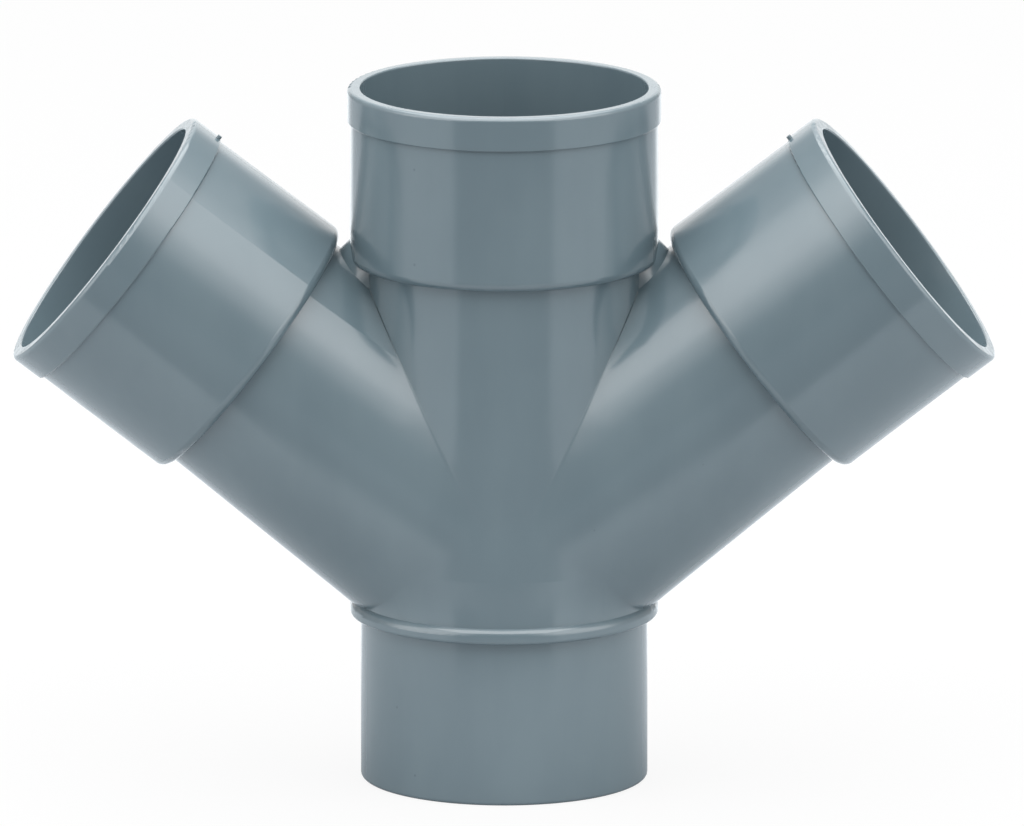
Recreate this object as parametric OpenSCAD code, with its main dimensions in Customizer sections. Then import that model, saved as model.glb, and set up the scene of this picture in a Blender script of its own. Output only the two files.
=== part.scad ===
// Double wye for drain pipe, moulded in one piece.
// A straight run goes up from a plain spigot, past a bead, to a socket. Two
// tapered branches leave the run on opposite sides and end in sockets too.
// The origin is the centre of the spigot's end. Z runs up the axis of the run,
// and both branches lie in the XZ plane.

/* [Run] */
// Outside diameter of the pipe that the run joins, which is also the spigot's
run_pipe_d = 100; // [97:0.5:103]
// Height from the spigot's end to the mouth of the run's socket
run_h = 245; // [243:1:270]
// Outside diameter of the run just above the bead
run_root_d = 103.6; // [103.2:0.1:104.6]
// Outside diameter of the run at the base of its socket
run_neck_d = 98.6; // [98.2:0.1:99.6]
// Diameter of the waterway through the spigot and the run
run_way_d = 92.4; // [90:0.2:92.6]

/* [Spigot and bead] */
// Length of the spigot, from its end to the bead
spigot_len = 58; // [50:0.5:60]
// Rounding of the spigot's outer edge
spigot_round = 1.4; // [0.6:0.1:1.8]
// Distance that the bead stands out from the spigot
bead_out = 3.7; // [3:0.1:5]
// Height of the bead, from its underside to the barrel above it
bead_h = 5.6; // [4.4:0.1:7]
// Rounding of the bead's upper edge
bead_round = 2.8; // [2.2:0.1:3.4]
// Rounding of the bead's lower edge
bead_under_round = 1.4; // [0.8:0.1:1.6]

/* [Run socket] */
// Outside diameter of the run's socket under its ring
run_socket_d = 107; // [106:0.5:110]
// Length of the run's socket outside, from its shoulder to its mouth
run_socket_len = 62; // [61:0.5:64]
// Depth of the bore that takes the pipe in the run's socket
run_seat_depth = 58; // [50:0.5:58]

/* [Branches] */
// Angle of each branch from the run
branch_angle = 52.5; // [51:0.5:58]
// Height at which the axes of the branches cross the axis of the run
junction_h = 84.4; // [82:0.2:87]
// Distance along a branch from that crossing to its mouth
branch_reach = 176; // [174:1:200]
// Outside diameter of the pipe that a branch joins
branch_pipe_d = 94; // [90:0.5:96]
// Outside diameter of a branch where its axis crosses the run's
branch_root_d = 101.6; // [101:0.1:102.6]
// Outside diameter of a branch at the base of its socket
branch_neck_d = 93.6; // [93:0.1:95]
// Diameter of the waterway through a branch
branch_way_d = 87.6; // [84:0.2:88]

/* [Branch sockets] */
// Outside diameter of a branch's socket under its ring
branch_socket_d = 102.4; // [101.5:0.1:104]
// Length of a branch's socket outside, from its shoulder to its mouth
branch_socket_len = 65.5; // [64:0.5:66]
// Depth of the bore that takes the pipe in a branch's socket
branch_seat_depth = 61.5; // [55:0.5:61.5]

/* [Socket details] */
// Clearance round a pipe in its socket, on each side
seat_clearance = 0.15; // [0.05:0.05:0.3]
// Growth of a socket's outside radius from its ring down to its shoulder
socket_draft = 0.3; // [0:0.1:0.6]
// Height of the ring round each mouth
ring_h = 11.8; // [8:0.2:14]
// Distance that the ring stands out from the socket
ring_out = 1.1; // [0.6:0.1:2]
// Rounding of the ring's outer edge at the mouth
lip_round = 1.6; // [0.8:0.1:2]
// Rounding of the ring's lower edge
ring_round = 0.5; // [0.2:0.1:0.8]
// Rounding of the mouth's inner edge
bore_round = 0.6; // [0.3:0.1:1]
// Rounding of the shoulder at the base of each socket
shoulder_round = 3.4; // [2:0.1:4]

/* [Crotch webs] */
// Radius of the rounded web in the crotch between the run and a branch
web_r = 16; // [13:0.5:18]
// Slope of the web's crest above the horizontal
web_slope = 45; // [40:1:48]
// Rise of the web's crest above the crotch
web_rise = 9.5; // [7:0.5:10]

/* [Gate pips] */
// Diameter of the pip left by the mould's gate on each branch's ring
pip_d = 1.6; // [1:0.1:2]
// Height of the pip above the ring
pip_h = 1.3; // [0.8:0.1:2]

/* [Hidden] */
$fn = 96;
grey_blue = [0.43, 0.50, 0.54];
// The sides of the fitting on which the branches leave
sides = [-1, 1];
// Overlap that makes two solids one, and overrun that clears a cut
bite = 1;
// Turns of the revolved solids about their own axes. They keep the line where a
// revolved face closes on itself away from the corners in the XZ plane.
run_turn = 90;
branch_turn = 45;
bead_top = spigot_len + bead_h;
// Height inside the bead where the run's barrel and both branches start
barrel_foot = spigot_len + bite;
run_shoulder = run_h - run_socket_len;
branch_shoulder = branch_reach - branch_socket_len;
// Taper of the run's barrel, as radius lost for each millimetre of height
run_taper = (run_root_d - run_neck_d) / 2 / (run_shoulder - barrel_foot);
branch_taper = (branch_root_d - branch_neck_d) / 2 / branch_shoulder;
// The crotch is where the run's side line crosses a branch's upper side line,
// in the XZ plane. Along the branch's line, x grows by side_dx and z by side_dz
// for each millimetre of the branch's axis.
run_r_at_junction = run_root_d / 2 - run_taper * (junction_h - barrel_foot);
side_dx = sin(branch_angle) + branch_taper * cos(branch_angle);
side_dz = cos(branch_angle) - branch_taper * sin(branch_angle);
root_x = -branch_root_d / 2 * cos(branch_angle);
root_dz = branch_root_d / 2 * sin(branch_angle);
crotch_s = (run_r_at_junction - root_x - run_taper * root_dz)
    / (side_dx + run_taper * side_dz);
crotch_x = root_x + crotch_s * side_dx;
crotch_z = junction_h + root_dz + crotch_s * side_dz;
// Half length of the web, which ends inside the walls on both sides
web_half_len = 22;

// A square corner less the quarter disc in it, to cut from a profile so that
// its corner becomes round. The corner is at the origin and x and y point into
// the profile.
module corner_cut(r) {
    difference() {
        translate([-bite, -bite])
            square(r + bite);
        translate([r, r])
            circle(r);
    }
}

// Half profile of a socket's outside, from its shoulder at y = 0 to its mouth
module socket_profile(outer_r, len) {
    ring_y = len - ring_h;
    base_r = outer_r + socket_draft;
    ring_r = outer_r + ring_out;
    difference() {
        polygon([[0, 0], [base_r, 0], [outer_r, ring_y], [0, ring_y]]);
        translate([base_r, 0])
            mirror([1, 0])
                corner_cut(shoulder_round);
    }
    difference() {
        translate([0, ring_y])
            square([ring_r, ring_h]);
        translate([ring_r, ring_y])
            mirror([1, 0])
                corner_cut(ring_round);
        translate([ring_r, len])
            rotate(180)
                corner_cut(lip_round);
    }
}

// The outside of the run: spigot, bead, tapered barrel and socket
module run_outside() {
    rotate_extrude() {
        difference() {
            square([run_pipe_d / 2, spigot_len + bite]);
            translate([run_pipe_d / 2, 0])
                mirror([1, 0])
                    corner_cut(spigot_round);
        }
        bead_profile();
        polygon([
            [0, barrel_foot],
            [run_root_d / 2, barrel_foot],
            [run_neck_d / 2, run_shoulder],
            [0, run_shoulder]
        ]);
        translate([0, run_shoulder])
            socket_profile(run_socket_d / 2, run_socket_len);
    }
}

// The bead has a flat underside, a rounded lower edge and a rounder top
module bead_profile() {
    bead_r = run_pipe_d / 2 + bead_out;
    difference() {
        translate([0, spigot_len])
            square([bead_r, bead_h]);
        translate([bead_r, spigot_len])
            mirror([1, 0])
                corner_cut(bead_under_round);
        translate([bead_r, bead_top])
            rotate(180)
                corner_cut(bead_round);
    }
}

// The outside of one branch along +Z, from the crossing of the axes
module branch_outside() {
    rotate_extrude() {
        polygon([
            [0, 0],
            [branch_root_d / 2, 0],
            [branch_neck_d / 2, branch_shoulder],
            [0, branch_shoulder]
        ]);
        translate([0, branch_shoulder])
            socket_profile(branch_socket_d / 2, branch_socket_len);
    }
}

// The waterway, the seat for the pipe and the rounded edge of one mouth.
// The passage starts at y = from and the mouth is at y = mouth.
module passage(way_d, pipe_d, seat_depth, from, mouth) {
    seat_r = pipe_d / 2 + seat_clearance;
    rotate_extrude() {
        translate([0, from])
            square([way_d / 2, mouth - from]);
        translate([0, mouth - seat_depth])
            square([seat_r, seat_depth + bite]);
        difference() {
            translate([0, mouth - bore_round])
                square([seat_r + bore_round, bore_round + bite]);
            translate([seat_r + bore_round, mouth - bore_round])
                circle(bore_round);
        }
    }
}

// Puts its children on a branch, with +Z along the branch's axis
module on_branch(side) {
    translate([0, 0, junction_h])
        rotate([0, side * branch_angle, 0])
            children();
}

// The outside of one branch in its place. It is cut off inside the run's barrel,
// short of the other branch and above the underside of the bead.
module branch_part(side) {
    room = 2 * branch_reach;
    intersection() {
        on_branch(side)
            rotate(side * branch_turn)
                branch_outside();
        translate([side * (bite + room / 2), 0, barrel_foot + room / 2])
            cube(room, center = true);
    }
}

// The convex web that bridges the crotch between the run and one branch
module crotch_web(side) {
    lift = web_rise - web_r;
    translate([
        side * (crotch_x + lift * sin(web_slope)),
        0,
        crotch_z + lift * cos(web_slope)
    ])
        rotate([0, -side * (90 - web_slope), 0])
            rotate(run_turn)
                cylinder(r = web_r, h = 2 * web_half_len, center = true);
}

// The pip that the gate leaves on top of a branch's ring, by its lower edge
module gate_pip(side) {
    on_branch(side)
        translate([
            -side * (branch_socket_d / 2 + ring_out - bite),
            0,
            branch_reach - ring_h + ring_round + pip_d / 2
        ])
            rotate([0, -side * 90, 0])
                rotate(branch_turn)
                    cylinder(d = pip_d, h = pip_h + bite, $fn = 24);
}

module wye_body() {
    color(grey_blue)
        difference() {
            union() {
                rotate(run_turn)
                    run_outside();
                for (side = sides) {
                    branch_part(side);
                    crotch_web(side);
                    gate_pip(side);
                }
            }
            rotate(run_turn)
                passage(run_way_d, run_pipe_d, run_seat_depth, -bite, run_h);
            for (side = sides)
                on_branch(side)
                    rotate(side * branch_turn)
                        passage(branch_way_d, branch_pipe_d, branch_seat_depth, 0, branch_reach);
        }
}

wye_body();
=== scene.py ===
# %% [markdown]
# # A double wye for drain pipe
#
# The fitting is one moulding in blue-grey plastic. This script loads the packed
# solid as the fixed frame, gives it its surface, and lights it like a small
# object in a white studio. Lengths are in metres.

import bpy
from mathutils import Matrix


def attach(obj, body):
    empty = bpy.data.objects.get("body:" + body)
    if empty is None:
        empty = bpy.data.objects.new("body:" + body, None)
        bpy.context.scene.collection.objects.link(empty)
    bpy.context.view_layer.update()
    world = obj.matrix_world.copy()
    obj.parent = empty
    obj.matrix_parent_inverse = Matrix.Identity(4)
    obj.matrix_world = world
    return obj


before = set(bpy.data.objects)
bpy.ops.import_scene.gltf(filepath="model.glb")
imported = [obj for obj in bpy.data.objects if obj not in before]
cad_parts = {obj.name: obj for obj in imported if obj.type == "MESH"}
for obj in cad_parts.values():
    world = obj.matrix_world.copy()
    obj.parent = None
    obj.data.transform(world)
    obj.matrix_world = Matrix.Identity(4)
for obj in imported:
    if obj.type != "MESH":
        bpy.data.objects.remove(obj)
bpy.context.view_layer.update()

# %% The tools that the script uses
import math

import bpy
import numpy as np
from mathutils import Vector

scene = bpy.context.scene
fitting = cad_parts["wye_body"]

# %% [markdown]
# ## The plastic
#
# The real fitting is rigid plastic, coloured right through, straight from a
# polished steel mould. It has a satin gloss, and four things keep it from looking
# like paint: the blue grey drifts a little where the melt cooled unevenly, the
# skin has a very fine ripple, the gloss is duller where it has been handled, and
# a hair-thin ridge shows where the two halves of the mould met.
#
# An image could carry all that, but it would need an unwrapped mesh and it would
# blur close up. Noise in object coordinates needs neither. The solid and the
# skins over its corners share one origin, so the pattern runs on across them.
#
# First come four small helpers. They keep each effect down to a line or two.

# %% Helpers for shader nodes
def add_node(tree, kind, **settings):
    node = tree.nodes.new(kind)
    for setting, value in settings.items():
        setattr(node, setting, value)
    return node


def calculate(tree, operation, *values):
    """A Math node: each value is a number or another node's output."""
    node = add_node(tree, "ShaderNodeMath", operation=operation)
    for socket, value in zip(node.inputs, values):
        if isinstance(value, (int, float)):
            socket.default_value = value
        else:
            tree.links.new(value, socket)
    return node.outputs[0]


def axes(tree, place):
    """The X, the Y and the Z of a place or of a direction."""
    split = add_node(tree, "ShaderNodeSeparateXYZ")
    tree.links.new(place, split.inputs[0])
    return split.outputs


def ramp(tree, value, low, high):
    """Goes smoothly from 0 to 1 while the value goes from low to high, or from
    high down to low where the first of the two limits is the larger one."""
    node = add_node(tree, "ShaderNodeMapRange", interpolation_type="SMOOTHSTEP")
    tree.links.new(value, node.inputs["Value"])
    node.inputs["From Min"].default_value = low
    node.inputs["From Max"].default_value = high
    return node.outputs["Result"]


# %% [markdown]
# Each pattern is a noise with its own grain. A scale of 20 gives patches of about
# 50 mm, one of 1400 gives a grain of less than a millimetre. Stretching the
# coordinates along one axis turns patches into streaks.

# %% Patterns of the surface
def noise(tree, place, scale, detail=2.0, stretch=(1, 1, 1)):
    spread = add_node(tree, "ShaderNodeVectorMath", operation="MULTIPLY")
    tree.links.new(place, spread.inputs[0])
    spread.inputs[1].default_value = stretch
    node = add_node(tree, "ShaderNodeTexNoise")
    tree.links.new(spread.outputs[0], node.inputs["Vector"])
    node.inputs["Scale"].default_value = scale
    node.inputs["Detail"].default_value = detail
    return node.outputs["Fac"]


def specks(tree, place, scale, size, share):
    """Small round specks in a share of the cells of a Voronoi pattern."""
    cells = add_node(tree, "ShaderNodeTexVoronoi")
    tree.links.new(place, cells.inputs["Vector"])
    cells.inputs["Scale"].default_value = scale
    split = add_node(tree, "ShaderNodeSeparateColor")
    tree.links.new(cells.outputs["Color"], split.inputs[0])
    chosen = calculate(tree, "LESS_THAN", split.outputs[0], share)
    full_size = 0.4 * size
    near = ramp(tree, cells.outputs["Distance"], size, full_size)
    return calculate(tree, "MULTIPLY", chosen, near)


def mould_line(tree, place, half_width):
    """The ridge in the plane of the axes, where the halves of the mould met."""
    _, y, _ = axes(tree, place)
    off_plane = calculate(tree, "ABSOLUTE", y)
    crest = 0.3 * half_width
    return ramp(tree, off_plane, half_width, crest)


# %% [markdown]
# Handling shows first on the rims: the three mouths and the end of the spigot.
# Their places are known, so a mask can be worked out from the coordinates alone.
# Noise breaks it up, because wear is never even. A branch's mouth is measured
# along its own axis, which leans from the run and starts on the run's axis.

# %% Worn rims
RUN_MOUTH = 0.245
BRANCH_MOUTH = 0.176
JUNCTION = 0.0844
LEAN = math.radians(52.5)
WEAR_DEPTH = 0.0016


def worn_rims(tree, place):
    x, _, z = axes(tree, place)
    across = calculate(tree, "MULTIPLY", calculate(tree, "ABSOLUTE", x), math.sin(LEAN))
    above = calculate(tree, "SUBTRACT", z, JUNCTION)
    along = calculate(tree, "MULTIPLY_ADD", above, math.cos(LEAN), across)
    run_rim = ramp(tree, z, RUN_MOUTH - WEAR_DEPTH, RUN_MOUTH)
    branch_rim = ramp(tree, along, BRANCH_MOUTH - WEAR_DEPTH, BRANCH_MOUTH)
    spigot_rim = ramp(tree, z, WEAR_DEPTH, 0.0)
    mouths = calculate(tree, "MAXIMUM", run_rim, branch_rim)
    rims = calculate(tree, "MAXIMUM", mouths, spigot_rim)
    broken = ramp(tree, noise(tree, place, scale=140, detail=4.0), low=0.42, high=0.60)
    return calculate(tree, "MULTIPLY", rims, broken)


# %% [markdown]
# Colour takes the slow drift first, mixed with streaks along the way that the melt
# flowed. A few dark specks follow, as any coloured plastic holds some, and the
# worn rims come out a little paler.

# %% Colour of the plastic
DEEP_GREY = (0.0955, 0.1340, 0.1545, 1)
PALE_GREY = (0.1095, 0.1505, 0.1710, 1)
SPECK_GREY = (0.0500, 0.0700, 0.0820, 1)
WORN_GREY = (0.1300, 0.1680, 0.1880, 1)
SPECK_STRENGTH = 0.5
WEAR_STRENGTH = 0.6


def mix_colour(tree, factor, first, second):
    node = add_node(tree, "ShaderNodeMix", data_type="RGBA")
    tree.links.new(factor, node.inputs[0])
    for socket, value in ((node.inputs[6], first), (node.inputs[7], second)):
        if isinstance(value, tuple):
            socket.default_value = value
        else:
            tree.links.new(value, socket)
    return node.outputs[2]


def plastic_colour(tree, place, wear):
    drift = noise(tree, place, scale=17, detail=3.0)
    flow = noise(tree, place, scale=42, detail=4.0, stretch=(1, 1, 0.25))
    half_drift = calculate(tree, "MULTIPLY", drift, 0.5)
    mean = calculate(tree, "MULTIPLY_ADD", flow, 0.5, half_drift)
    shade = ramp(tree, mean, low=0.36, high=0.64)
    colour = mix_colour(tree, shade, DEEP_GREY, PALE_GREY)
    dots = specks(tree, place, scale=160, size=0.10, share=0.030)
    speckled = calculate(tree, "MULTIPLY", dots, SPECK_STRENGTH)
    colour = mix_colour(tree, speckled, colour, SPECK_GREY)
    rubbed = calculate(tree, "MULTIPLY", wear, WEAR_STRENGTH)
    return mix_colour(tree, rubbed, colour, WORN_GREY)


# %% [markdown]
# A mould's polish leaves an even satin. Hands dull it in patches and boxes scuff
# it in long streaks, so roughness starts from the satin and each mark adds to it.

# %% Gloss of the plastic
SATIN_ROUGHNESS = 0.155
ROUGHER_HANDLED = 0.05
ROUGHER_SCUFFED = 0.05
ROUGHER_WORN = 0.08


def plastic_roughness(tree, place, wear):
    handling = ramp(tree, noise(tree, place, scale=24, detail=6.0), low=0.50, high=0.72)
    streaks = noise(tree, place, scale=90, detail=5.0, stretch=(1, 1, 0.06))
    scuffs = ramp(tree, streaks, low=0.60, high=0.70)
    rough = calculate(tree, "MULTIPLY_ADD", handling, ROUGHER_HANDLED, SATIN_ROUGHNESS)
    rough = calculate(tree, "MULTIPLY_ADD", scuffs, ROUGHER_SCUFFED, rough)
    return calculate(tree, "MULTIPLY_ADD", wear, ROUGHER_WORN, rough)


# %% [markdown]
# One Bump node takes every height. The heights are real ones, in metres: a few
# thousandths of a millimetre for the ripple, about one for the grain, and a few
# hundredths for the mould line.

# %% Relief of the plastic
RIPPLE_HEIGHT = 0.000005
GRAIN_HEIGHT = 0.0000012
MOULD_LINE_HEIGHT = 0.00006
MOULD_LINE_HALF_WIDTH = 0.00035


def plastic_relief(tree, place):
    ripple = calculate(tree, "MULTIPLY", noise(tree, place, scale=130), RIPPLE_HEIGHT)
    fine = noise(tree, place, scale=1400, detail=1.0)
    grain = calculate(tree, "MULTIPLY", fine, GRAIN_HEIGHT)
    ridge = mould_line(tree, place, MOULD_LINE_HALF_WIDTH)
    line = calculate(tree, "MULTIPLY", ridge, MOULD_LINE_HEIGHT)
    return calculate(tree, "ADD", calculate(tree, "ADD", ripple, grain), line)


# %% [markdown]
# The three patterns meet in one shader. Its usual mirror level is a half. Here it
# is one, so the polished skin mirrors twice as much.

# %% Build the material
PLASTIC_IOR = 1.5
MIRROR_LEVEL = 1.0


def make_plastic():
    material = bpy.data.materials.new("grey_plastic")
    material.use_nodes = True
    tree = material.node_tree
    shader = tree.nodes["Principled BSDF"]
    shader.inputs["IOR"].default_value = PLASTIC_IOR
    shader.inputs["Specular IOR Level"].default_value = MIRROR_LEVEL
    place = add_node(tree, "ShaderNodeTexCoord").outputs["Object"]
    wear = worn_rims(tree, place)
    tree.links.new(plastic_colour(tree, place, wear), shader.inputs["Base Color"])
    tree.links.new(plastic_roughness(tree, place, wear), shader.inputs["Roughness"])
    bump = add_node(tree, "ShaderNodeBump")
    bump.inputs["Distance"].default_value = 1.0
    tree.links.new(plastic_relief(tree, place), bump.inputs["Height"])
    tree.links.new(bump.outputs[0], shader.inputs["Normal"])
    return material


plastic = make_plastic()
print("the plastic uses", len(plastic.node_tree.nodes), "nodes")

# %% Give the material to the solid
fitting.data.materials.clear()
fitting.data.materials.append(plastic)
for face in fitting.data.polygons:
    face.use_smooth = True
print(fitting.name, "is now", fitting.data.materials[0].name)

# %% [markdown]
# ## The blends in the corners
#
# Where each branch leaves the run, the real moulding has no knife-sharp corner.
# High up, the corner is a thin line with a fillet of half a millimetre or so. Low
# down, it widens until the branch flows into the run with no line at all.
#
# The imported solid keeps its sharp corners, so the fillets are thin skins that
# lie over them. A modeller could try a Bevel modifier, but a bevel has one width
# and tears where a corner fades out. Here a smooth union does the work instead.
# Each wall is written as a distance: negative inside the wall, zero on its
# surface. The smaller of two distances is their sharp union. A smooth minimum
# rounds the corner over a width that may change from place to place. The two
# branches mirror each other, so one distance serves both, and it is eased at the
# middle plane, where the mirror images would otherwise meet in a kink.

# %% The walls as distances
RUN_FOOT = 0.059
RUN_SHOULDER = 0.183
RUN_RADIUS = 0.0518
RUN_NECK_RADIUS = 0.0493
BRANCH_SHOULDER = 0.1105
BRANCH_RADIUS = 0.0508
BRANCH_NECK_RADIUS = 0.0468
RUN_TAPER = (RUN_RADIUS - RUN_NECK_RADIUS) / (RUN_SHOULDER - RUN_FOOT)
BRANCH_TAPER = (BRANCH_RADIUS - BRANCH_NECK_RADIUS) / BRANCH_SHOULDER
MIDDLE_EASE = 0.004


def run_radius(z):
    return RUN_RADIUS - RUN_TAPER * (z - RUN_FOOT)


def run_distance(p):
    """Distance of points from the run's tapered barrel."""
    reach = np.hypot(p[..., 0], p[..., 1])
    return (reach - run_radius(p[..., 2])) * math.cos(math.atan(RUN_TAPER))


def branch_distance(p):
    """Distance of points from the tapered barrel of the branch on their own side."""
    x = np.abs(p[..., 0])
    x = x + MIDDLE_EASE * np.exp(-x / MIDDLE_EASE)
    z = p[..., 2] - JUNCTION
    along = x * math.sin(LEAN) + z * math.cos(LEAN)
    across = x * math.cos(LEAN) - z * math.sin(LEAN)
    radius = BRANCH_RADIUS - BRANCH_TAPER * along
    return (np.hypot(across, p[..., 1]) - radius) * math.cos(math.atan(BRANCH_TAPER))


# %% The smooth union
FINE_BLEND = 0.0005
WIDE_BLEND = 0.004
FINE_ABOVE = 0.112
WIDE_BELOW = 0.080
WIDE_WITHIN = 0.0350
FINE_BEYOND = 0.0460
PROBE = 0.00002


def blend_width(p):
    """Width of the rounding: wide low down, thin above and out at the bead's ends."""
    fade = np.clip((FINE_ABOVE - p[..., 2]) / (FINE_ABOVE - WIDE_BELOW), 0, 1)
    inside = np.clip((FINE_BEYOND - np.abs(p[..., 0])) / (FINE_BEYOND - WIDE_WITHIN), 0, 1)
    return FINE_BLEND + (WIDE_BLEND - FINE_BLEND) * fade ** 2 * inside


def smooth_minimum(a, b, width):
    overlap = np.maximum(width - np.abs(a - b), 0)
    return np.minimum(a, b) - overlap ** 2 / (4 * width)


def skin_distance(p):
    return smooth_minimum(run_distance(p), branch_distance(p), blend_width(p))


def unit(vectors):
    """The same directions, each with a length of one."""
    return vectors / np.linalg.norm(vectors, axis=-1, keepdims=True)


def skin_normal(p):
    """Direction in which the distance grows, which is the surface's normal there."""
    slope = np.stack([
        skin_distance(p + PROBE * axis) - skin_distance(p - PROBE * axis)
        for axis in np.eye(3)
    ], axis=-1)
    return unit(slope)


def settle(p, rounds=8):
    """Moves points along the normal until they lie on the skin."""
    for _ in range(rounds):
        p = p - skin_distance(p)[..., None] * skin_normal(p)
    return p


beside_corner = np.array([[0.030, -0.040, 0.068]])
print("a point on the lower blend:", settle(beside_corner).round(5).tolist())

# %% [markdown]
# A skin is a grid of points on that surface. Its edge dives a little under the
# solid, so that no step shows, and a second layer closes it from behind. Each
# point keeps the exact normal of the surface, so the skin and the solid catch
# the light in the same way and the join disappears.

# %% Faces of a closed skin
def skin_faces(rows, columns):
    """Faces of a front layer, of a back layer, and of the strip that joins them."""
    layer = rows * columns
    faces = []
    for i in range(rows - 1):
        for j in range(columns - 1):
            a = i * columns + j
            b = a + columns
            faces.append((a, a + 1, b + 1, b))
            faces.append((layer + a, layer + b, layer + b + 1, layer + a + 1))
    edge = [(0, j) for j in range(columns - 1)]
    edge += [(i, columns - 1) for i in range(rows - 1)]
    edge += [(rows - 1, j) for j in range(columns - 1, 0, -1)]
    edge += [(i, 0) for i in range(rows - 1, 0, -1)]
    ring = [i * columns + j for i, j in edge]
    for a, b in zip(ring, ring[1:] + ring[:1]):
        faces.append((a, layer + a, layer + b, b))
    return faces


# %% Turn a grid of points into a closed skin
EDGE_DIVE = 0.0003
SKIN_DEPTH = 0.001


def make_skin(name, grid, lift):
    """Builds a skin from a grid of points, lifted a few micrometres off them."""
    rows, columns = grid.shape[:2]
    normal = skin_normal(grid)
    grid = grid + lift * normal
    rim = np.zeros((rows, columns), bool)
    rim[[0, -1], :] = True
    rim[:, [0, -1]] = True
    front = grid - np.where(rim, EDGE_DIVE, 0.0)[..., None] * normal
    back = grid - SKIN_DEPTH * normal
    points = np.concatenate([front.reshape(-1, 3), back.reshape(-1, 3)])
    normals = np.concatenate([normal.reshape(-1, 3), -normal.reshape(-1, 3)])
    mesh = bpy.data.meshes.new(name)
    mesh.from_pydata(points.tolist(), [], skin_faces(rows, columns))
    mesh.update()
    first = mesh.polygons[0]
    if first.normal.dot(Vector(normal[0, 0])) < 0:
        mesh.flip_normals()
    for face in mesh.polygons:
        face.use_smooth = True
    mesh.normals_split_custom_set_from_vertices(normals.tolist())
    skin = bpy.data.objects.new(name, mesh)
    scene.collection.objects.link(skin)
    mesh.materials.append(plastic)
    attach(skin, "root")
    return skin


# %% [markdown]
# The wide blend is nearly flat on the front and on the back of the fitting. So
# its grid is laid out in X and Z, and each point slides along Y to the surface.
# The blend narrows on its way up, and its half width is given at four heights.
#
# It is lifted off the solid by five thousandths of a millimetre. The thin blends
# further up are lifted a little more, so no two surfaces share one place.

# %% The wide blends, front and back
WIDE_HEIGHTS = (0.0615, 0.070, 0.080, 0.1035)
WIDE_REACHES = (0.0495, 0.0480, 0.0440, 0.0330)
WIDE_ROWS = 57
WIDE_COLUMNS = 161
WIDE_LIFT = 0.000005
START_OUT = 0.060
SLIDES = 40
LEAST_FACING = 0.25


def slide_to_skin(x, z, side):
    """Points of the skin above a grid in the XZ plane, on the front or the back."""
    p = np.stack([x, np.full_like(x, side * START_OUT), z], axis=-1)
    for _ in range(SLIDES):
        facing = np.maximum(side * skin_normal(p)[..., 1], LEAST_FACING)
        p[..., 1] -= side * (skin_distance(p) / facing)
    return p


def wide_blend(side):
    z = np.linspace(WIDE_HEIGHTS[0], WIDE_HEIGHTS[-1], WIDE_ROWS)
    reach = np.interp(z, WIDE_HEIGHTS, WIDE_REACHES)
    across = np.linspace(-1, 1, WIDE_COLUMNS)
    x = across[None, :] * reach[:, None]
    z = np.repeat(z[:, None], WIDE_COLUMNS, axis=1)
    return slide_to_skin(x, z, side)


for label, side in (("front", -1), ("back", 1)):
    made = make_skin("wide_blend_" + label, wide_blend(side), WIDE_LIFT)
    print(made.name, len(made.data.polygons), "faces")

# %% [markdown]
# The upper corners run up in four straight lines, two on each face. Each gets a
# narrow strip. Its middle follows the corner, which is found by halving: on one
# side of it the run stands out further, on the other side the branch does.

# %% Find the upper corners
NEAREST_CORNER = 0.004
FURTHEST_CORNER = 0.0515
WITHIN_RUN = 0.000001
HALVINGS = 50


def on_run_front(x, z):
    """Points on the front of the run's barrel."""
    y = -np.sqrt(np.maximum(run_radius(z) ** 2 - x ** 2, 0))
    return np.stack([x, y, z], axis=-1)


def corner_x(z):
    """Distance from the axis of the run, in X, at which the two walls meet."""
    low = np.full_like(z, NEAREST_CORNER)
    high = np.minimum(FURTHEST_CORNER, run_radius(z) - WITHIN_RUN)
    for _ in range(HALVINGS):
        x = (low + high) / 2
        branch_in_front = branch_distance(on_run_front(x, z)) < 0
        high = np.where(branch_in_front, x, high)
        low = np.where(branch_in_front, low, x)
    return (low + high) / 2


# %% [markdown]
# Across its middle line, a strip goes out along both walls. Both directions are
# at right angles to the line, one in the wall of the run and one in the wall of
# the branch. The flatter the corner, the wider the rounding spreads, so the strip
# widens too, within a limit. Its columns stand closest in the middle, where the
# surface turns fastest.

# %% The thin blends along the upper corners
THIN_FOOT = 0.0985
THIN_TOP = 0.1765
THIN_ROWS = 79
THIN_LIFT = 0.000025
THIN_MARGIN = 0.0003
THIN_LIMIT = 0.007
SPREAD_PER_WIDTH = 1.4
HALF_SPREAD = np.array([0.07, 0.15, 0.27, 0.42, 0.6, 0.8, 1.0])
SPREAD = np.concatenate([-HALF_SPREAD[::-1], [0.0], HALF_SPREAD])


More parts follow.
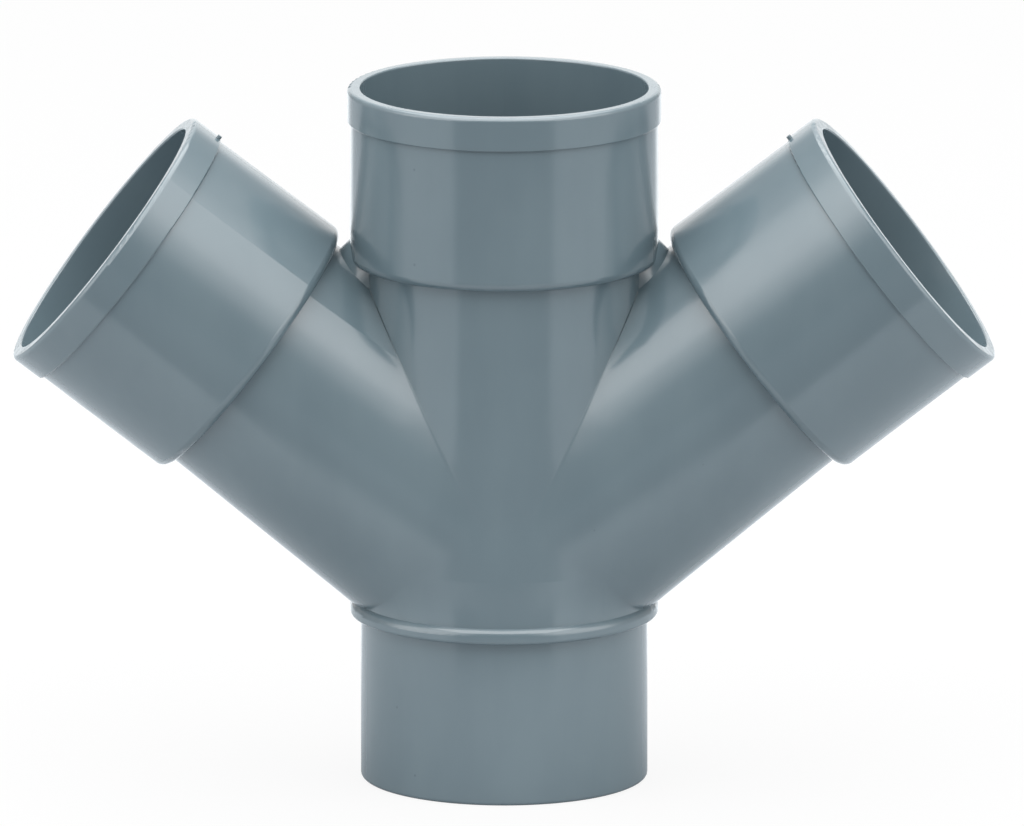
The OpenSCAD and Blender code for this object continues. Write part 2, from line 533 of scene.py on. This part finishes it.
def thin_blend(side_x, side_y):
    z = np.linspace(THIN_FOOT, THIN_TOP, THIN_ROWS)
    x = corner_x(z)
    middle = on_run_front(x, z)
    turn = np.arctan2(-middle[:, 1], x)
    out_of_run = np.stack([np.cos(turn), -np.sin(turn), 0 * turn], axis=-1)
    along = x * math.sin(LEAN) + (z - JUNCTION) * math.cos(LEAN)
    axis_x = along * math.sin(LEAN)
    axis_z = JUNCTION + along * math.cos(LEAN)
    out_of_branch = unit(middle - np.stack([axis_x, 0 * along, axis_z], axis=-1))
    line = np.cross(out_of_run, out_of_branch)
    sharpness = np.linalg.norm(line, axis=-1)
    line = unit(line)
    spread_out = SPREAD_PER_WIDTH * blend_width(middle) / sharpness
    width = np.minimum(spread_out, THIN_LIMIT) + THIN_MARGIN
    to_run = np.cross(line, out_of_run)
    to_branch = np.cross(line, out_of_branch)
    on_run_side = (SPREAD < 0)[None, :, None]
    direction = np.where(on_run_side, to_run[:, None], to_branch[:, None])
    offset = SPREAD[None, :] * width[:, None]
    grid = settle(middle[:, None] + offset[..., None] * direction)
    return grid * np.array([side_x, -side_y, 1])


for face_label, side_y in (("front", -1), ("back", 1)):
    for side_label, side_x in (("left", -1), ("right", 1)):
        name = "thin_blend_%s_%s" % (face_label, side_label)
        made = make_skin(name, thin_blend(side_x, side_y), THIN_LIFT)
        print(made.name, len(made.data.polygons), "faces")

# %% [markdown]
# ## The studio
#
# A photographer would stand the fitting on a white sheet in a light tent. The sheet is one
# large plane. Plastic this glossy shows its surroundings, so the sheet plays two parts. What
# the camera sees is nearly white and keeps only a faint shadow. What the plastic mirrors is
# duller, and darker in a wedge towards the camera: that darker wedge is painted shade, for
# the shade where the photographer stands in the light. The wedge starts a hand's span in
# front of the fitting, so the spigot still mirrors the pale sheet. Straight behind the
# fitting the sheet is palest, which is painted light.
#
# The sheet lies a tenth of a millimetre low, so that it never shares a plane with
# the end of the spigot. It is clear from below, for a look at the underside.

# %% Angles round the fitting
def turn_from_front(tree, coordinates):
    """The angle round the Z axis, 0 towards the camera and up to pi behind."""
    x, y, _ = axes(tree, coordinates)
    towards = calculate(tree, "MULTIPLY", y, -1.0)
    return calculate(tree, "ABSOLUTE", calculate(tree, "ARCTAN2", x, towards))


def between(tree, angle, low, high):
    """0 up to the lower angle and 1 from the higher one on, both in degrees."""
    return ramp(tree, angle, math.radians(low), math.radians(high))


def beside_wedge(tree, turn):
    return between(tree, turn, 35, 38)


def straight_behind(tree, turn):
    return between(tree, turn, 150, 164)


# %% The sheet as the camera sees it
SEEN_GREY = (0.056, 0.056, 0.056, 1)
SEEN_GLOW = 0.892


def seen_sheet(tree):
    """What the camera sees: an even glow, and a little grey that takes the shadow."""
    grey = add_node(tree, "ShaderNodeBsdfDiffuse")
    grey.inputs["Color"].default_value = SEEN_GREY
    glow = add_node(tree, "ShaderNodeEmission")
    glow.inputs["Strength"].default_value = SEEN_GLOW
    both = add_node(tree, "ShaderNodeAddShader")
    tree.links.new(grey.outputs[0], both.inputs[0])
    tree.links.new(glow.outputs[0], both.inputs[1])
    return both.outputs[0]


# %% The sheet as the plastic mirrors it
# Painted shade: the darker grey of the sheet in the wedge towards the camera
PAINTED_SHADE_WEDGE_GREY = (0.223, 0.235, 0.247, 1)
WEDGE_START = 0.28
WEDGE_FADE = 0.07
SHEET_GREY = (0.455, 0.486, 0.512, 1)
# Painted light: the palest grey of the sheet, straight behind the fitting
PAINTED_LIGHT_BEHIND_GREY = (0.860, 0.900, 0.930, 1)


def mirrored_sheet(tree):
    """What the plastic mirrors, and what throws light back at it: the sheet's grey, with
    painted shade in the wedge towards the camera and painted light straight behind.
    """
    spot = add_node(tree, "ShaderNodeTexCoord").outputs["Object"]
    turn = turn_from_front(tree, spot)
    distance = add_node(tree, "ShaderNodeVectorMath", operation="LENGTH")
    tree.links.new(spot, distance.inputs[0])
    far, close = WEDGE_START + WEDGE_FADE, WEDGE_START - WEDGE_FADE
    near = ramp(tree, distance.outputs["Value"], far, close)
    # Painted shade in the wedge towards the camera, except close to the fitting
    pale = calculate(tree, "MAXIMUM", beside_wedge(tree, turn), near)
    grey = mix_colour(tree, pale, PAINTED_SHADE_WEDGE_GREY, SHEET_GREY)
    # Painted light on the sheet straight behind the fitting
    grey = mix_colour(tree, straight_behind(tree, turn), grey, PAINTED_LIGHT_BEHIND_GREY)
    sheet = add_node(tree, "ShaderNodeBsdfDiffuse")
    tree.links.new(grey, sheet.inputs["Color"])
    return sheet.outputs[0]


# %% Lay the floor
FLOOR_REACH = 4.0
FLOOR_DROP = 0.0001


def mix_shaders(tree, factor, first, second):
    node = add_node(tree, "ShaderNodeMixShader")
    for socket, value in zip(node.inputs, (factor, first, second)):
        tree.links.new(value, socket)
    return node.outputs[0]


def sheet_material():
    material = bpy.data.materials.new("white_floor")
    material.use_nodes = True
    tree = material.node_tree
    tree.nodes.clear()
    from_camera = add_node(tree, "ShaderNodeLightPath").outputs["Is Camera Ray"]
    above = mix_shaders(tree, from_camera, mirrored_sheet(tree), seen_sheet(tree))
    underside = add_node(tree, "ShaderNodeNewGeometry").outputs["Backfacing"]
    clear = add_node(tree, "ShaderNodeBsdfTransparent").outputs[0]
    out = add_node(tree, "ShaderNodeOutputMaterial")
    tree.links.new(mix_shaders(tree, underside, above, clear), out.inputs["Surface"])
    return material


def make_floor(reach, drop):
    mesh = bpy.data.meshes.new("studio_floor")
    corners = [(x * reach, y * reach, -drop) for x, y in ((-1, -1), (1, -1), (1, 1), (-1, 1))]
    mesh.from_pydata(corners, [], [(0, 1, 2, 3)])
    mesh.materials.append(sheet_material())
    floor = bpy.data.objects.new("studio_floor", mesh)
    scene.collection.objects.link(floor)
    return floor


floor = make_floor(FLOOR_REACH, FLOOR_DROP)
print("floor:", 2 * FLOOR_REACH, "m across,", len(floor.data.polygons), "face")

# %% [markdown]
# ## Light
#
# The walls of the tent are one shader on the world. It works out two angles for
# each direction: the turn from the camera's side, and the rise above the horizon.
# The front wedge is dim, the side walls are bright, the back walls are a little
# weaker and the wall straight behind is brightest, which gives the fitting its
# pale rims. Two soft lobes, like lamps behind the tent cloth, make the light bands
# on the branches. The camera itself sees plain white.
#
# Overhead hangs one large softbox. It gives the shoulders and rims their shape
# and throws the faint shadow.

# %% Lamps behind the cloth
LOBE_TURN = math.radians(60)
LOBE_RISE = math.radians(22)
LOBE_EDGE = math.radians(40)
LOBE_CORE = math.radians(12)


def lobe_shape(tree, direction, side):
    """1 in the middle of the lamp behind the left or the right wall, 0 outside it."""
    across = side * math.sin(LOBE_TURN) * math.cos(LOBE_RISE)
    towards = -math.cos(LOBE_TURN) * math.cos(LOBE_RISE)
    aim = add_node(tree, "ShaderNodeVectorMath", operation="DOT_PRODUCT")
    tree.links.new(direction, aim.inputs[0])
    aim.inputs[1].default_value = (across, towards, math.sin(LOBE_RISE))
    return ramp(tree, aim.outputs["Value"], math.cos(LOBE_EDGE), math.cos(LOBE_CORE))


# %% Brightness of the walls
SIDE_WALL = 0.675
FRONT_GLOW = 0.35
BACK_WALLS_LESS = -0.175
HIGH_SIDES_MORE = 0.4
BEHIND_MORE = 0.85
LOBE_MORE = 1.75


def tent_level(tree, direction):
    turn = turn_from_front(tree, direction)
    _, _, up = axes(tree, direction)
    rise = calculate(tree, "ARCSINE", up)
    overhead = between(tree, rise, 36, 42)
    walls = calculate(tree, "MAXIMUM", beside_wedge(tree, turn), overhead)
    level = calculate(tree, "MULTIPLY", walls, SIDE_WALL)
    level = calculate(tree, "MAXIMUM", level, FRONT_GLOW)
    back_walls = between(tree, turn, 95, 130)
    level = calculate(tree, "MULTIPLY_ADD", back_walls, BACK_WALLS_LESS, level)
    beside = between(tree, turn, 60, 80)
    high_sides = calculate(tree, "MULTIPLY", between(tree, rise, 36, 55), beside)
    level = calculate(tree, "MULTIPLY_ADD", high_sides, HIGH_SIDES_MORE, level)
    level = calculate(tree, "MULTIPLY_ADD", straight_behind(tree, turn), BEHIND_MORE, level)
    for side in (-1, 1):
        lobe = lobe_shape(tree, direction, side)
        level = calculate(tree, "MULTIPLY_ADD", lobe, LOBE_MORE, level)
    return level


# %% Hang the tent
SEEN_WHITE = 0.985


def background(tree, strength):
    """A white background whose strength is a number or another node's output."""
    node = add_node(tree, "ShaderNodeBackground")
    node.inputs["Color"].default_value = (1, 1, 1, 1)
    if isinstance(strength, float):
        node.inputs["Strength"].default_value = strength
    else:
        tree.links.new(strength, node.inputs["Strength"])
    return node.outputs[0]


def make_tent():
    world = bpy.data.worlds.new("light_tent")
    scene.world = world
    world.use_nodes = True
    tree = world.node_tree
    tree.nodes.clear()
    direction = add_node(tree, "ShaderNodeTexCoord").outputs["Generated"]
    cloth = background(tree, tent_level(tree, direction))
    white = background(tree, SEEN_WHITE)
    from_camera = add_node(tree, "ShaderNodeLightPath").outputs["Is Camera Ray"]
    out = add_node(tree, "ShaderNodeOutputWorld")
    tree.links.new(mix_shaders(tree, from_camera, cloth, white), out.inputs["Surface"])
    return world


tent = make_tent()
print("the tent's shader uses", len(tent.node_tree.nodes), "nodes")

# %% Hang the softbox
SOFTBOX_PLACE = (0, -0.35, 1.75)
SOFTBOX_TARGET = (0, -0.35, 0)
SOFTBOX_SIZE = (2.4, 3.0)
SOFTBOX_WATTS = 59


def softbox(name, place, target, size, watts):
    light = bpy.data.lights.new(name, "AREA")
    light.shape = "RECTANGLE"
    light.size, light.size_y = size
    light.energy = watts
    lamp = bpy.data.objects.new(name, light)
    scene.collection.objects.link(lamp)
    lamp.location = place
    aim = Vector(target) - Vector(place)
    lamp.rotation_euler = aim.to_track_quat("-Z", "Y").to_euler()
    return lamp


top_light = softbox("top_softbox", SOFTBOX_PLACE, SOFTBOX_TARGET, SOFTBOX_SIZE, SOFTBOX_WATTS)
print("softbox:", SOFTBOX_SIZE, "m,", top_light.data.energy, "W")

# %% [markdown]
# ## Camera
#
# Catalogue pictures are taken from far away with a long lens, so that both
# branches look alike. This one looks down by 12.3 degrees from 10 m. The focal
# length is worked out from the scale of the picture: its pixels for each metre
# at the fitting, times the distance. The camera aims a little to the right of the
# run's axis and a little above half height, to place the fitting in the frame.

# %% Place the camera
LOOK_DOWN = math.radians(12.3)
DISTANCE = 10.0
PIXELS_PER_METRE = 2870
PICTURE_WIDTH = 1024
SENSOR = 36.0
AIM_POINT = (0.00272, 0, 0.120)
AIM_HIGHER = 0.00883


def make_camera():
    data = bpy.data.cameras.new("camera")
    camera = bpy.data.objects.new("camera", data)
    scene.collection.objects.link(camera)
    scene.camera = camera
    forward = Vector((0, math.cos(LOOK_DOWN), -math.sin(LOOK_DOWN)))
    up = Vector((0, math.sin(LOOK_DOWN), math.cos(LOOK_DOWN)))
    aim = Vector(AIM_POINT) + AIM_HIGHER * up
    camera.location = aim - DISTANCE * forward
    camera.rotation_euler = forward.to_track_quat("-Z", "Y").to_euler()
    data.sensor_width = SENSOR
    data.lens = PIXELS_PER_METRE * DISTANCE / PICTURE_WIDTH * SENSOR
    data.clip_end = 4 * DISTANCE
    return camera


camera = make_camera()
scene.view_settings.view_transform = "Standard"
print("lens:", round(camera.data.lens), "mm, from", DISTANCE, "m away")

# %% [markdown]
# ## Finish
#
# The view layer is updated once more, so that every object stands where it was placed.

# %% Finish
bpy.context.view_layer.update()
